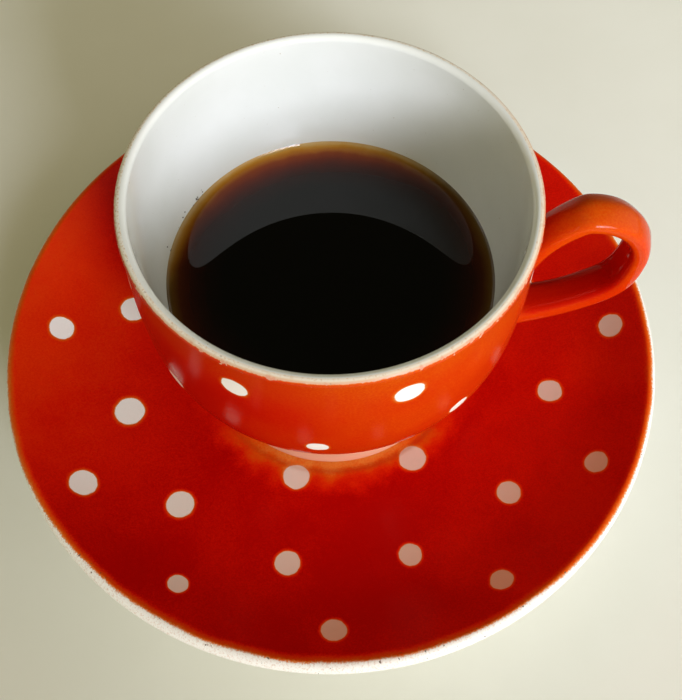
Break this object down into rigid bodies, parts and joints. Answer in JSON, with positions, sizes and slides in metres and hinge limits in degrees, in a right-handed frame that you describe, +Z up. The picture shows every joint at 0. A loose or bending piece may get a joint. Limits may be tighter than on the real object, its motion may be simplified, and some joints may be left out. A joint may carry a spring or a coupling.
{
  "type": "coffee cup with saucer",
  "caption": "Round glazed cup with a strap handle, standing on its saucer and half full of black coffee.",
  "frame": {"origin": "centre of the saucer's foot ring at table height, under the cup's middle", "axes": "+Z up, +X towards the handle"},
  "size_m": [0.156, 0.156, 0.0783],
  "materials": {
    "cup_glaze": "glossy glaze, sprayed red with white dots outside, white inside, at the lip and at the foot",
    "saucer_glaze": "glossy glaze, sprayed red with white dots on top, white at the lip and underneath",
    "black_coffee": "black coffee, a liquid with a still, mirror-like surface"
  },
  "bodies": {
    "root": {"cup": "cup_glaze", "saucer": "saucer_glaze", "coffee": "black_coffee"}
  },
  "joints": []
}
